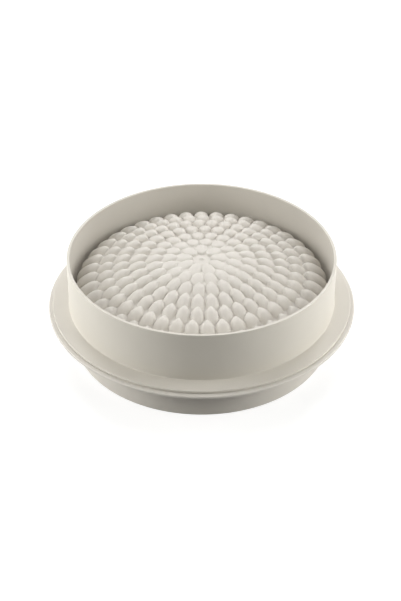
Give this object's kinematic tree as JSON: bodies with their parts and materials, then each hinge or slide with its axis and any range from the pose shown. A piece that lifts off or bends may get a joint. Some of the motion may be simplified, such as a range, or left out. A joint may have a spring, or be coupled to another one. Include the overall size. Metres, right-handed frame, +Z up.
{
  "type": "cake mould",
  "caption": "Round silicone cake mould with a dome of lapping petals and a flange, standing on its mouth, with a lift-off support ring seated on the flange.",
  "frame": {"origin": "middle of the mouth, in the plane that the mouth rim rests on", "axes": "+Z up along the round axis, from the mouth to the apex of the dome; -Y faces the viewer of the picture"},
  "size_m": [0.2202, 0.2202, 0.0697],
  "materials": {
    "silicone": "matte",
    "ring_plastic": "satin"
  },
  "bodies": {
    "mould": {"petal_mould": "silicone"},
    "ring": {"support_ring": "ring_plastic"}
  },
  "joints": [
    {"name": "ring_lift", "type": "slide", "parent": "mould", "child": "ring", "axis": [0, 0, 1], "range_m": [0, 0.06]}
  ]
}
